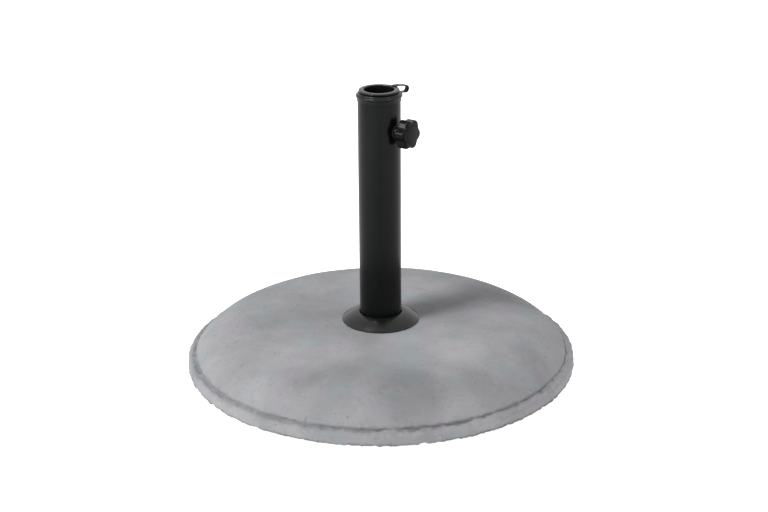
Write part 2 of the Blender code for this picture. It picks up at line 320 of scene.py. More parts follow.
class Nodes:
    """Short calls for building the nodes of a new material, or of a new world."""

    def __init__(self, name, kind="materials"):
        self.owner = getattr(bpy.data, kind).new(name)
        self.owner.use_nodes = True
        self.tree = self.owner.node_tree
        self.place = self.node("ShaderNodeTexCoord")["Object"]

    def node(self, kind, values=None, **settings):
        """A new node's outputs. Values are for its inputs, by name or by number."""
        made = self.tree.nodes.new(kind)
        for key, value in settings.items():
            setattr(made, key, value)
        self.set(made, values or {})
        return made.outputs

    def set(self, node, values):
        """Links each input to a socket, or gives it a plain value or colour."""
        for key, value in values.items():
            socket = node.inputs[key]
            if isinstance(value, bpy.types.NodeSocket):
                self.tree.links.new(value, socket)
            elif socket.type == "RGBA":
                socket.default_value = (*value, 1.0)
            else:
                socket.default_value = value

    def scaled(self, factors):
        """The object coordinates, stretched along each axis."""
        return self.node("ShaderNodeMapping", {"Vector": self.place, "Scale": factors})["Vector"]

    def noise(self, per_metre, detail=3.0, roughness=0.55, place=None, output="Fac"):
        return self.node("ShaderNodeTexNoise", {
            "Vector": place or self.place, "Scale": per_metre, "Detail": detail,
            "Roughness": roughness,
        })[output]

    def cells(self, per_metre, output="Distance"):
        return self.node("ShaderNodeTexVoronoi", {"Vector": self.place, "Scale": per_metre})[output]

    def ranged(self, value, low, high, new_low=0.0, new_high=1.0, curve="SMOOTHSTEP"):
        """The value's way from low to high, mapped to a new range and level beyond it."""
        return self.node("ShaderNodeMapRange", {
            "Value": value, "From Min": low, "From Max": high, "To Min": new_low,
            "To Max": new_high,
        }, interpolation_type=curve)["Result"]

    def math(self, operation, first, second=0.0):
        return self.node("ShaderNodeMath", {0: first, 1: second}, operation=operation)[0]

    def vector_math(self, operation, *values):
        return self.node("ShaderNodeVectorMath", dict(enumerate(values)), operation=operation)

    def component(self, axis):
        return self.node("ShaderNodeSeparateXYZ", {0: self.place})[axis]

    def choose(self, share, first, second):
        """A number that is the first at a share of 0 and the second at 1."""
        return self.node("ShaderNodeMix", {0: share, 2: first, 3: second})[0]

    def mix(self, share, first, second, blend="MIX"):
        return self.node("ShaderNodeMix", {
            "Factor": share, COLOUR_A: first, COLOUR_B: second,
        }, data_type="RGBA", blend_type=blend)[COLOUR_RESULT]

    def bump(self, height, depth, strength=1.0, before=None):
        """A bump whose full height stands for a depth in metres."""
        values = {"Height": height, "Distance": depth, "Strength": strength}
        if before:
            values["Normal"] = before
        return self.node("ShaderNodeBump", values)["Normal"]

    def distance(self, centre, shift=(0.0, 0.0, 0.0)):
        """The distance in plan, in metres, from a point to each place moved by a shift."""
        moved = self.vector_math("ADD", self.place, shift)[0]
        flat = self.vector_math("MULTIPLY", moved, (1.0, 1.0, 0.0))[0]
        return self.vector_math("DISTANCE", flat, (*centre, 0.0))["Value"]

    def finish(self, colour, roughness, normal, metallic=0.0, specular=0.5):
        self.set(self.tree.nodes["Principled BSDF"], {
            "Base Color": colour, "Roughness": roughness, "Metallic": metallic,
            "Specular IOR Level": specular, "Normal": normal,
        })
        return self.owner


# ======================== materials
STAINS = (                   # (x, y, radius, strength) in mm: dark below 0, pale above it
    (30, -172, 62, -0.27), (-38, -146, 30, -0.08), (-88, -147, 34, -0.12),
    (104, -150, 36, -0.13), (168, -82, 34, -0.13), (178, -112, 16, -0.10),
    (-137, -6, 40, -0.10), (-60, 158, 46, -0.10), (120, 120, 70, -0.12),
    (74, 152, 52, -0.12), (150, 40, 44, -0.08), (84, -92, 40, 0.06),
    (-34, -92, 28, 0.05), (-92, -74, 34, 0.05), (-196, -88, 30, 0.05),
    (-142, -158, 34, 0.04), (30, -60, 26, 0.05),
)
STAIN_WANDER = 0.045         # how far a stain's border wanders, in metres
NEARLY_BLACK = (0.02, 0.02, 0.022)
NEARLY_WHITE = (0.9, 0.9, 0.9)


def concrete_tones(n, fine, patches):
    """Grey cement, mottled at every scale from the whole dome down to single grains."""
    broad = n.noise(13.0, 3.0, 0.5)
    blotches = n.noise(105.0, 3.0, 0.6)
    grain = n.noise(1300.0, 2.0, 0.6)
    colour = n.mix(n.ranged(broad, 0.32, 0.68), (0.295, 0.298, 0.31), (0.375, 0.37, 0.382))
    darker = n.mix(0.10, colour, (0.10, 0.10, 0.11))
    colour = n.mix(n.ranged(patches, 0.32, 0.68, 0.0, 0.75), darker, colour)
    colour = n.mix(n.ranged(blotches, 0.54, 0.70, 0.0, 0.14), colour, (0.10, 0.105, 0.11))
    # faint cool and warm tints, as cement cures unevenly
    cool = n.ranged(n.noise(19.0, 3.0, 0.5, n.scaled((1.0, 1.3, 1.0))), 0.50, 0.68, 0.0, 0.50)
    colour = n.mix(cool, colour, (0.27, 0.33, 0.345))
    warm = n.ranged(n.noise(27.0, 3.0, 0.5, n.scaled((1.2, 0.9, 1.0))), 0.51, 0.68, 0.0, 0.48)
    colour = n.mix(warm, colour, (0.36, 0.325, 0.375))
    colour = n.mix(n.ranged(fine, 0.35, 0.75, 0.0, 0.16), colour, (0.24, 0.24, 0.25))
    colour = n.mix(n.ranged(grain, 0.4, 0.75, 0.0, 0.08), colour, (0.5, 0.5, 0.5))
    wander = n.vector_math("SUBTRACT", n.noise(26.0, 3.0, 0.6, output="Color"), (0.5, 0.5, 0.5))[0]
    wander = n.vector_math("MULTIPLY", wander, (STAIN_WANDER, STAIN_WANDER, 0.0))[0]
    for x, y, radius, strength in STAINS:
        away = n.distance((x / 1000, y / 1000), wander)
        share = n.ranged(away, radius / 1000, radius / 4000, 0.0, abs(strength))
        colour = n.mix(share, colour, NEARLY_BLACK if strength < 0 else NEARLY_WHITE)
    return colour, grain


def scattered(n, per_metre, rim, core, mask_noise, mask_low, mask_high):
    """Dots at the middles of cells, where a slow noise lets them through."""
    mask = n.ranged(mask_noise, mask_low, mask_high)
    return n.math("MULTIPLY", n.ranged(n.cells(per_metre), rim, core), mask)


def groove_painted_shade(n, fine, reach, height):
    """Painted shade: darkens the groove round the rim, where shade falls in the hollow."""
    off_groove = n.math("ABSOLUTE", n.math("SUBTRACT", reach, (BASE_RADIUS - 9.8) / 1000))
    off_groove = n.math("ADD", off_groove, n.math("MULTIPLY", n.math("SUBTRACT", fine, 0.5), 0.006))
    low_down = n.ranged(height, 0.0185, 0.0155)
    return n.math("MULTIPLY", n.ranged(off_groove, 0.0024, 0.0006, 0.0, 0.28), low_down)


def low_edge_painted_shade(n, fine, reach, height):
    """Painted shade along the lowest edge of the rim, darkest at the bottom, where the base meets
    the ground.
    """
    low_edge = n.math("ADD", height, n.math("MULTIPLY", n.math("SUBTRACT", fine, 0.5), 0.008))
    edge_shade = n.ranged(n.noise(14.0, 2.0, 0.5), 0.36, 0.56, 0.1, 0.6)
    edge_shade = n.math("MULTIPLY", edge_shade, n.ranged(low_edge, 0.0052, 0.0022))
    at_rim = n.ranged(reach, (BASE_RADIUS - 7) / 1000, (BASE_RADIUS - 2) / 1000)
    return n.math("MULTIPLY", edge_shade, at_rim)


def concrete_material():
    n = Nodes("cast_concrete")
    patches = n.noise(42.0, 4.0, 0.6)
    fine = n.noise(260.0, 4.0, 0.65)
    colour, grain = concrete_tones(n, fine, patches)
    pores = scattered(n, 150.0, 0.15, 0.09, n.noise(75.0, 1.0), 0.61, 0.65)
    pinholes = scattered(n, 420.0, 0.20, 0.10, n.noise(120.0, 1.0), 0.58, 0.64)
    holes = n.math("MAXIMUM", pores, pinholes)
    # painted shade: the pores and pinholes are darkened where shade falls inside them
    colour = n.mix(n.math("MULTIPLY", holes, 0.6), colour, (0.09, 0.09, 0.095))
    speck_noise = n.noise(60.0, 1.0, 0.5, n.scaled((1.1, 1.0, 1.4)))
    specks = scattered(n, 190.0, 0.15, 0.08, speck_noise, 0.58, 0.62)
    colour = n.mix(n.math("MULTIPLY", specks, 0.5), colour, (0.62, 0.62, 0.60))
    reach, height = n.distance((0.0, 0.0)), n.component("Z")
    # painted shade in the groove round the rim
    colour = n.mix(groove_painted_shade(n, fine, reach, height), colour, (0.12, 0.125, 0.125))
    # painted shade along the lowest edge of the rim, where the base meets the ground
    colour = n.mix(low_edge_painted_shade(n, fine, reach, height), colour, (0.085, 0.09, 0.07))
    normal = n.bump(patches, 0.0010, 0.6)
    normal = n.bump(fine, 0.0004, 0.45, normal)
    normal = n.bump(grain, 0.00012, 0.4, normal)
    normal = n.bump(n.math("SUBTRACT", 1.0, holes), 0.0005, 0.9, normal)
    rough = n.ranged(fine, 0.3, 0.7, 0.78, 0.95)
    return n.finish(colour, rough, normal, specular=0.08)


def black_coat_material(name, colour, roughness, peel, specular):
    """Powder-coated steel: black, satin, with a fine orange-peel surface and a little dust."""
    n = Nodes(name)
    peel_noise = n.noise(850.0, 2.0, 0.5)
    slow = n.noise(60.0, 3.0, 0.6)
    dust = n.ranged(n.noise(1900.0, 2.0, 0.7), 0.66, 0.8, 0.0, 0.04)
    base = n.mix(n.ranged(slow, 0.35, 0.7, 0.0, 0.6), colour, tuple(c * 1.5 for c in colour))
    base = n.mix(dust, base, (0.10, 0.10, 0.095))
    rough = n.ranged(slow, 0.3, 0.7, roughness - 0.02, roughness + 0.03)
    normal = n.bump(peel_noise, peel, 0.6)
    normal = n.bump(slow, 0.0002, 0.25, normal)
    return n.finish(base, rough, normal, specular=specular)


def plastic_material(name, colour, roughness, grain, specular):
    """Moulded plastic: a fine even grain, slow changes of gloss and pale scuffs."""
    n = Nodes(name)
    texture = n.noise(2600.0, 2.0, 0.5)
    slow = n.noise(90.0, 3.0, 0.6)
    scuffs = n.noise(320.0, 5.0, 0.75, n.scaled((1.0, 1.0, 0.18)))
    worn = n.ranged(scuffs, 0.66, 0.78, 0.0, 0.08)
    base = n.mix(n.ranged(slow, 0.3, 0.7), colour, tuple(c * 1.35 for c in colour))
    base = n.mix(worn, base, (0.11, 0.11, 0.11))
    rough = n.ranged(slow, 0.3, 0.7, roughness - 0.04, roughness + 0.05)
    normal = n.bump(texture, grain, 0.5)
    normal = n.bump(slow, 0.0002, 0.3, normal)
    return n.finish(base, rough, normal, specular=specular)


def zinc_material(name, bright, dull_grey, roughness):
    """Zinc-plated steel with faint spangle and dull spots."""
    n = Nodes(name)
    spangle = n.cells(700.0, "Color")
    dull = n.noise(240.0, 4.0, 0.65)
    base = n.mix(n.ranged(dull, 0.35, 0.7), bright, dull_grey)
    base = n.mix(0.10, base, spangle, "OVERLAY")
    rough = n.ranged(dull, 0.3, 0.7, roughness - 0.07, roughness + 0.16)
    normal = n.bump(n.noise(1800.0, 3.0, 0.6), 0.00004, 0.5)
    return n.finish(base, rough, normal, metallic=1.0)


def rubber_material():
    n = Nodes("pad_rubber")
    grain = n.noise(1500.0, 3.0, 0.6)
    slow = n.noise(120.0, 3.0, 0.6)
    base = n.mix(n.ranged(slow, 0.3, 0.7), (0.026, 0.026, 0.027), (0.045, 0.044, 0.043))
    base = n.mix(n.ranged(grain, 0.62, 0.75, 0.0, 0.3), base, (0.12, 0.12, 0.115))
    return n.finish(base, n.ranged(slow, 0.3, 0.7, 0.82, 0.95), n.bump(grain, 0.00012, 0.6))


CONCRETE = concrete_material()
POWDER_COAT = black_coat_material(
    "black_powder_coat", (0.0028, 0.0032, 0.0032), 0.24, 0.00003, 0.20)
# a darker copy of the black powder coat: painted shade on the boss and its weld
BOSS_COAT_SHADED = black_coat_material(
    "boss_powder_coat_shaded", (0.0024, 0.0026, 0.0027), 0.20, 0.00004, 0.20)
ROSETTE_PLASTIC = plastic_material(
    "rosette_plastic", (0.0065, 0.0067, 0.0073), 0.24, 0.00005, 0.32)
COLLAR_PLASTIC = plastic_material(
    "collar_plastic", (0.0035, 0.0037, 0.0040), 0.20, 0.00003, 0.27)
REDUCER_PLASTIC = plastic_material(
    "reducer_plastic", (0.0050, 0.0052, 0.0055), 0.22, 0.00003, 0.32)
STRAP_PLASTIC = plastic_material(
    "strap_plastic", (0.0018, 0.0020, 0.0022), 0.18, 0.00002, 0.13)
KNOB_PLASTIC = plastic_material(
    "knob_plastic", (0.0022, 0.0024, 0.0026), 0.23, 0.00002, 0.12)
CAP_PLASTIC = plastic_material(
    "cap_plastic", (0.0022, 0.0024, 0.0026), 0.28, 0.00002, 0.11)
PAD_PLASTIC = plastic_material(
    "thrust_pad_plastic", (0.035, 0.035, 0.036), 0.5, 0.00003, 0.5)
ZINC = zinc_material("zinc_plated_steel", (0.60, 0.60, 0.59), (0.44, 0.45, 0.46), 0.32)
BLACK_ZINC = zinc_material("black_zinc_steel", (0.10, 0.10, 0.10), (0.05, 0.05, 0.052), 0.30)
RUBBER = rubber_material()


# ======================== concrete base
DOME_SPACING = 1.5           # mesh size over the visible surface
RIM_SPACING = 0.8
BASE_STEPS = 960
FOOT_Z = 18.8                # where the dome's shoulder meets the groove
GROOVE_BRIM = 17.2           # how high the mortar stands where it fills the groove
DICE = random.Random(20)


def bezier(corners, count):
    """Points along the cubic curve through four corners, both ends included."""
    found = []
    for i in range(count + 1):
        t = i / count
        weights = ((1 - t) ** 3, 3 * t * (1 - t) ** 2, 3 * t * t * (1 - t), t ** 3)
        x = sum(weight * corner[0] for weight, corner in zip(weights, corners))
        y = sum(weight * corner[1] for weight, corner in zip(weights, corners))
        found.append((x, y))
    return found


def concrete_outline():
    """The turned outline, down the outer side, under the base and back up the bore."""
    top = SEAT_Z + 0.3
    foot = (BASE_RADIUS - 10.4, FOOT_Z)
    foot_handle = (foot[0] - 14.4, foot[1] + 19.2)
    shoulder = bezier(((120.0, top - 0.9), (176.0, top - 1.3), foot_handle, foot), 60)
    dome = resampled([(46.0, SEAT_Z), *shoulder], DOME_SPACING)
    groove = [foot, (BASE_RADIUS - 10.2, 15.2), (BASE_RADIUS - 9.7, 13.9), (BASE_RADIUS - 8.2, 13.2)]
    bead = arc((BASE_RADIUS - 4.6, 10.4), 4.2, 112, 0, 14)
    edge = rounded([
        (bead[-1][0], bead[-1][1], 0), (BASE_RADIUS, 4.0, 0), (BASE_RADIUS, UNDERSIDE_Z, 1.6),
        (BASE_RADIUS - 12, UNDERSIDE_Z, 0),
    ], 5, closed=False)
    rim = resampled([*groove, *bead, *edge], RIM_SPACING)
    under = resampled([(BASE_RADIUS - 12, UNDERSIDE_Z), (22.0, UNDERSIDE_Z)], 7.0)
    well = [(22.0, UNDERSIDE_Z), (22.0, 17.0), (7.0, 17.0), (7.0, SEAT_Z), (26.0, SEAT_Z)]
    return dome[:-1] + rim[:-1] + under[:-1] + well


def outline_normals(outline):
    """The outward direction at each point of a closed outline."""
    normals = []
    for i, here in enumerate(outline):
        before = outline[i - 1]
        after = outline[(i + 1) % len(outline)]
        run = (after[0] - before[0], after[1] - before[1])
        length = math.hypot(*run) or 1.0
        normals.append((-run[1] / length, run[0] / length))
    return normals


def concrete_relief(x, y, z, radius):
    """How far the cast surface stands proud of the true outline, in mm."""
    here = Vector((x, y, z))
    if z < UNDERSIDE_Z + 0.2:
        # the open side of the mould: trowelled, rougher, and flat where the pads sit
        return -0.25 + 0.25 * noise.noise(here / 21.0) + 0.12 * noise.noise(here / 6.0)
    if radius < 46.5:
        return 0.0
    settle = smoothstep(46.5, 60.0, radius)
    lift = 0.34 * noise.noise(here / 58.0) + 0.15 * noise.noise(here / 21.0)
    lift += 0.045 * noise.noise(here / 6.5)
    lift *= settle
    if radius > BASE_RADIUS - 22 and z < 30:
        near_groove = smoothstep(24.0, 18.0, z) * smoothstep(10.0, 12.5, z)
        ragged = 1.0 * noise.noise(here / 14.0) + 0.8 * noise.noise(here / 5.5)
        ragged += 0.45 * noise.noise(here / 2.4)
        lift += ragged * near_groove
    if radius > BASE_RADIUS - 9 and z < 15:
        low_edge = smoothstep(7.0, 3.0, z)
        lift += (0.3 + 0.7 * low_edge) * noise.noise(here / 9.0)
        lift += (0.12 + 0.6 * low_edge) * noise.noise(here / 3.4)
    return lift


def groove_fill(angle, here):
    """The share of the rim's groove that mortar has filled, greatest at the right-hand side."""
    off = math.degrees(wrapped(angle + math.radians(10)))
    fill = 0.22 + 0.62 * math.exp(-((off / 42.0) ** 2))
    fill += 0.55 * noise.noise(here / 17.0) + 0.40 * noise.noise(here / 6.0)
    return min(max(fill, 0.0), 1.0)


def concrete_pits():
    """(x, y, z, radius, depth) of the larger air holes left against the mould."""
    pits = []
    for _ in range(70):
        angle = DICE.uniform(0, 2 * math.pi)
        reach = math.sqrt(DICE.uniform(60.0 ** 2, (BASE_RADIUS - 12) ** 2))
        size = DICE.choice((1.0, 1.2, 1.4, 1.6, 2.2))
        pits.append((*polar(reach, angle, None), size, size * 0.45))
    for _ in range(24):
        angle = DICE.uniform(0, 2 * math.pi)
        height = DICE.uniform(4.0, 13.0)
        size = DICE.choice((0.9, 1.2, 1.6))
        pits.append((*polar(BASE_RADIUS - 0.6, angle, height), size, size * 0.5))
    return pits


def rim_chips():
    """(azimuth in degrees, width, depth) of the chips along the lower edge."""
    chips = [
        (-78.5, 3.4, 1.5), (-70.0, 1.8, 0.7), (-112.0, 2.4, 0.9), (-38.0, 3.0, 1.2),
        (-151.0, 2.0, 0.8), (12.0, 2.8, 1.1), (61.0, 3.6, 1.4), (97.0, 2.0, 0.8),
        (143.0, 3.0, 1.2), (176.0, 2.2, 0.9), (-20.0, 1.6, 0.6), (-96.0, 1.5, 0.6),
    ]
    for _ in range(64):
        chips.append((DICE.uniform(-180, 180), DICE.uniform(1.6, 3.8), DICE.uniform(0.4, 1.1)))
    return chips


PAD_NUMBERS = (1, 2, 3, 4)


def under_pad(number):
    """The place of a foot pad's middle, on the ground."""
    low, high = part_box(f"foot_pad_{number}")
    middle = (low + high) / 2
    return Matrix.Translation((middle.x, middle.y, 0))


def cast_surface(outline):
    """The points of the cast skin, ring by ring, and the way that each of them faces."""
    points = []
    facing = []
    for (radius, z), (normal_r, normal_z) in zip(outline, outline_normals(outline)):
        for angle in full_turn(BASE_STEPS):
            c, s = math.cos(angle), math.sin(angle)
            lift = concrete_relief(radius * c, radius * s, z, radius)
            reach = radius + normal_r * lift
            height = z + normal_z * lift
            if BASE_RADIUS - 11 < radius < BASE_RADIUS - 5 and z < FOOT_Z - 0.1:
                fill = groove_fill(angle, Vector((reach * c, reach * s, 0.0)))
                height += fill * (GROOVE_BRIM - z) * smoothstep(
                    BASE_RADIUS - 5.0, BASE_RADIUS - 8.5, radius)
            points.append((reach * c, reach * s, height))
            facing.append((normal_r * c, normal_r * s, normal_z))
    return np.array(points), np.array(facing)


def dent(away, size, depth, sharpness):
    """How far each point sinks in a dent, from its distance to the dent's middle."""
    return (depth * np.clip(1 - (away / size) ** 2, 0, 1) ** sharpness)[:, None]


def concrete_body():
    outline = concrete_outline()
    place, facing = cast_surface(outline)
    for x, y, z, size, depth in concrete_pits():
        apart = place - (x, y, z or 0.0)
        if z is None:
            # a hole in the top counts distance in plan, and leaves the underside alone
            apart[:, 2] = np.where(place[:, 2] > UNDERSIDE_Z + 12, 0.0, 99.0)
        place -= facing * dent(np.linalg.norm(apart, axis=1), size, depth, 0.6)
    for azimuth, width, depth in rim_chips():
        c, s = math.cos(math.radians(azimuth)), math.sin(math.radians(azimuth))
        apart = place - (BASE_RADIUS * c, BASE_RADIUS * s, UNDERSIDE_Z)
        away = np.linalg.norm(apart / (1.0, 1.0, 0.8), axis=1)
        place += np.array((-c, -s, 0.8)) * dent(away, width, depth, 0.7)
    piece = make("concrete_body", Shape(np.split(place, len(outline)), closed=True), sharp=50)
    pocket = lathe([(0, 3.3), (12.5, 3.3), (12.5, -4), (0, -4)], 64, closed=False)
    carve(piece, [make(f"pocket_{i}", pocket, under_pad(i)) for i in PAD_NUMBERS], sharp=50)
    dress(piece, "base", CONCRETE, "concrete", "concrete_base")


def foot_pads():
    """Rubber discs with two grip grooves underneath and a softly rounded rim."""
    groove = 0.6
    profile = rounded([
        (0, 3.0, 0), (11.2, 3.0, 0.5), (12.0, 1.6, 0.4), (12.0, 0.0, 0.5),
        (9.6, 0.0, 0.2), (9.2, groove, 0.1), (7.6, groove, 0.1), (7.2, 0.0, 0.2),
        (5.2, 0.0, 0.2), (4.8, groove, 0.1), (3.2, groove, 0.1), (2.8, 0.0, 0.2), (0, 0.0, 0),
    ], 3, closed=False)
    for i in PAD_NUMBERS:
        piece = make(f"rubber_foot_{i}", lathe(profile, 72, closed=False), under_pad(i))
        dress(piece, "base", RUBBER, "pad_rubber", f"foot_pad_{i}")


# ======================== steel tube and fixing
TUBE_SIDES = 192
SEAM_AZIMUTH = 140.0         # the weld seam inside the tube, on the side away from the knob
SEAM_HEIGHT = 0.35
SEAM_WIDTH = 1.6
SCREW_HOLE = 4.7


def tube():
    """The steel tube, with a low weld seam along its inside and a hole for the screw."""
    corners = [
        (TUBE_BORE, TUBE_TOP_Z, 0.3), (TUBE_RADIUS, TUBE_TOP_Z, 0.4),
        (TUBE_RADIUS, TUBE_BOTTOM_Z, 0.3), (TUBE_BORE, TUBE_BOTTOM_Z, 0.3),
    ]
    rings = []
    for radius, z in rounded(corners, 3):
        ring = []
        for angle in full_turn(TUBE_SIDES):
            off = wrapped(angle - math.radians(SEAM_AZIMUTH))
            bead = SEAM_HEIGHT * math.exp(-((off * TUBE_BORE / SEAM_WIDTH) ** 2))
            reach = radius - (bead if radius < TUBE_BORE + 0.5 else 0.0)
            ring.append(polar(reach, angle, z))
        rings.append(ring)
    piece = make("tube", Shape(rings, closed=True))
    far, near = TUBE_RADIUS + 8, 14
    drill = lathe([(0, far), (SCREW_HOLE, far), (SCREW_HOLE, near), (0, near)], 48, closed=False)
    carve(piece, [make("screw_hole", drill, CLAMP_FRAME)])
    dress(piece, "base", POWDER_COAT, "black_powder_coat", "stand_tube")


PLATE_TOP_Z = RING_TOP_Z - 1.0


def foot_plate():
    """The flange under the tube, with the raised ring that the pole stands on."""
    profile = rounded([
        (7.0, PLATE_TOP_Z, 0.3), (12.0, PLATE_TOP_Z, 0.2), (12.0, RING_TOP_Z, 0.25),
        (21.5, RING_TOP_Z, 0.25), (21.5, PLATE_TOP_Z, 0.2), (PLATE_RADIUS, PLATE_TOP_Z, 0.5),
        (PLATE_RADIUS, PLATE_BOTTOM_Z, 0.4), (7.0, PLATE_BOTTOM_Z, 0.3),
    ], 3)
    piece = make("foot_plate", lathe(profile, 160))
    dress(piece, "base", POWDER_COAT, "black_powder_coat", "tube_foot_plate")


def tube_foot_weld():
    """The fillet weld between tube and foot plate, with the ripples of its passes."""
    rings = []
    for angle in full_turn(360):
        ripple = 0.16 * math.sin(angle * 46) + 0.12 * noise.noise(Vector((angle * 6, 0.0, 3.0)))
        leg = 3.0 + ripple
        section = (
            (-0.2, -0.1), (-0.2, leg), (leg * 0.22, leg * 0.80), (leg * 0.50, leg * 0.55),
            (leg * 0.80, leg * 0.24), (leg, -0.1),
        )
        rings.append([polar(TUBE_RADIUS + out, angle, PLATE_TOP_Z + up) for out, up in section])
    piece = make("tube_foot_weld", sweep(rings, closed=True), sharp=60)
    dress(piece, "base", POWDER_COAT, "black_powder_coat")


def hex_reach(angle, across_flats):
    """The distance to a hexagon's side, seen from its middle."""
    folded = (angle + math.pi / 6) % (math.pi / 3) - math.pi / 6
    return across_flats / 2 / math.cos(folded)


def hex_shape(across_flats, low, high, bore=0.0, chamfers=(True, True)):
    """A hexagon with turned chamfers on its ends, which leave the arcs seen on real nuts."""
    steps = 144
    rises = [1.6 * k / 8 for k in range(9)]
    levels = [(low + rise, rise, chamfers[0]) for rise in rises]
    levels += [(high - rise, rise, chamfers[1]) for rise in rises[::-1]]
    rings = []
    for z, rise, chamfered in levels[::-1]:
        ring = []
        for angle in full_turn(steps):
            reach = hex_reach(angle, across_flats)
            if chamfered:
                reach = min(reach, across_flats / 2 * 0.97 + rise / math.tan(math.radians(30)))
            ring.append(polar(reach, angle, z))
        rings.append(ring)
    if bore:
        mouth = bore + 0.7
        for reach, z in ((mouth, low), (bore, low + 0.7), (bore, high - 0.7), (mouth, high)):
            rings.append(circle(reach, z, steps))
    else:
        rings.insert(0, circle(0, high, steps))
        rings.append(circle(0, low, steps))
    return Shape(rings, closed=bool(bore))


def thread_shape(major, pitch, low, high, shape=None):
    """A threaded rod: its radius follows a rounded V that climbs with the angle."""
    shape = shape or Shape()
    depth = 0.60 * pitch
    rows = max(8, round((high - low) / pitch * 12))
    rings = [circle(0, high, 1)]
    for row in range(rows + 1):
        z = high - (high - low) * row / rows
        lead = min(z - low, high - z)
        ring = []
        for angle in full_turn(40):
            turn = (z / pitch - angle / (2 * math.pi)) % 1.0
            ridge = smoothstep(0.08, 0.92, abs(turn - 0.5) * 2)
            radius = min(major - depth * ridge, major - depth * 1.05 + lead * 0.9)
            ring.append(polar(radius, angle, z))
        rings.append(ring)
    rings.append(circle(0, low, 1))
    shape.skin(rings)
    return shape


def tie_nut():
    low, high = span("tie_nut")[1:]
    piece = make("hex_nut", hex_shape(18.8, low, high, bore=6.1), sharp=25)
    dress(piece, "base", ZINC, "zinc_steel", "tie_nut")


def tie_bolt():
    """The M12 bolt: its head, a plain length of shank and the thread above it."""
    low, high = span("tie_bolt")[1:]
    head_top, thread_start, shank = low + 7.5, 38.0, 5.9
    shape = hex_shape(18.0, low, head_top, chamfers=(True, False))
    upper, lower = thread_start + 2, head_top - 0.5
    lathe([(0, upper), (shank, upper), (shank, lower), (0, lower)], 64, closed=False, shape=shape)
    thread_shape(shank, 1.75, thread_start, high, shape)
    piece = make("hex_bolt", shape, sharp=25)
    dress(piece, "base", ZINC, "zinc_steel", "tie_bolt")


WASHER_BORE = 6.5


def flat_washer():
    radius, bottom, top = span("tie_bolt_washer")
    profile = rounded([
        (WASHER_BORE, top, 0.3), (radius, top, 0.5), (radius, bottom, 0.3),
        (WASHER_BORE, bottom, 0.3),
    ], 3)
    piece = make("flat_washer", lathe(profile, 96))
    dress(piece, "base", ZINC, "zinc_steel", "tie_bolt_washer")


def split_washer():
    """A spring washer: a ring cut through at one place, where one end stands proud."""
    radius, bottom, top = span("tie_bolt_spring_washer")
    climb = 0.4
    section = rounded([
        (WASHER_BORE, top - climb, 0.2), (radius, top - climb, 0.3), (radius, bottom, 0.3),
        (WASHER_BORE, bottom, 0.2),
    ], 2)
    rings = []
    steps = 100
    for i in range(steps + 1):
        share = i / steps
        angle = math.radians(94 + 352 * share)
        rings.append([polar(reach, angle, z + climb * share) for reach, z in section])
    piece = make("split_washer", sweep(rings))
    dress(piece, "base", ZINC, "zinc_steel", "tie_bolt_spring_washer")


# ======================== plastic trim
def rosette():
    """The cover over the tube's foot, with a fine lip at its bore and at its rim."""
    inner = TUBE_RADIUS + 0.6
    bottom = ROSETTE_BOTTOM_Z + 0.2
    rise = ROSETTE_TOP_Z - bottom

    def height(radius):
        along = (radius - inner) / (ROSETTE_RADIUS - inner)
        return bottom + rise * (1.0 - max(along, 0.0) ** 1.6)

    count = 40
    radii = [inner + (ROSETTE_RADIUS - inner) * i / count for i in range(count + 1)]
    outer = []
    for radius in radii:
        lip = 0.0
        if radius < inner + 0.8:
            lip = -0.35 * (1 - (radius - inner) / 0.8) ** 2
        if radius > ROSETTE_RADIUS - 1.4:
            lip = 0.25 * smoothstep(ROSETTE_RADIUS - 1.4, ROSETTE_RADIUS - 0.6, radius)
        outer.append((radius, height(radius) + lip))
    under = [(radius, height(radius) - 1.3) for radius in radii[: count - 2]]
    profile = outer + [
        (ROSETTE_RADIUS, ROSETTE_BOTTOM_Z + 0.15), (ROSETTE_RADIUS - 0.2, ROSETTE_BOTTOM_Z),
        (ROSETTE_RADIUS - 1.2, ROSETTE_BOTTOM_Z),
    ] + under[::-1]
    piece = make("rosette", lathe(profile, 256), sharp=35)
    dress(piece, "rosette", ROSETTE_PLASTIC, "rosette_plastic", "cover_rosette")


def collar():
    """The collar on the tube's top: a small roll over a wider one, then a short skirt."""
    slot_top = TUBE_TOP_Z + 0.3
    bead_z = 318.3
    rolls = arc((BEAD_RADIUS - 3.2, COLLAR_TOP_Z - 1.3), 1.3, 90, 0, 10)
    rolls += arc((BEAD_RADIUS - 1.7, bead_z), 1.7, 60, -62, 14)
    below = rounded([
        (rolls[-1][0], rolls[-1][1], 0), (TUBE_RADIUS + 0.85, bead_z - 2.7, 0.5),
        (TUBE_RADIUS + 0.8, 313.0, 0.2), (TUBE_RADIUS + 0.3, 313.0, 0.1),
        (TUBE_RADIUS + 0.3, slot_top, 0), (TUBE_BORE - 0.3, slot_top, 0),
        (TUBE_BORE - 0.3, SPIGOT_Z, 0.3), (COLLAR_BORE, SPIGOT_Z, 0.3),
        (COLLAR_BORE, COLLAR_TOP_Z, 0),
    ], 4, closed=False)
    piece = make("collar", lathe(rolls + below[1:], 224), sharp=35)
    dress(piece, "base", COLLAR_PLASTIC, "black_plastic", "top_collar")


REDUCER_RIBS = 8


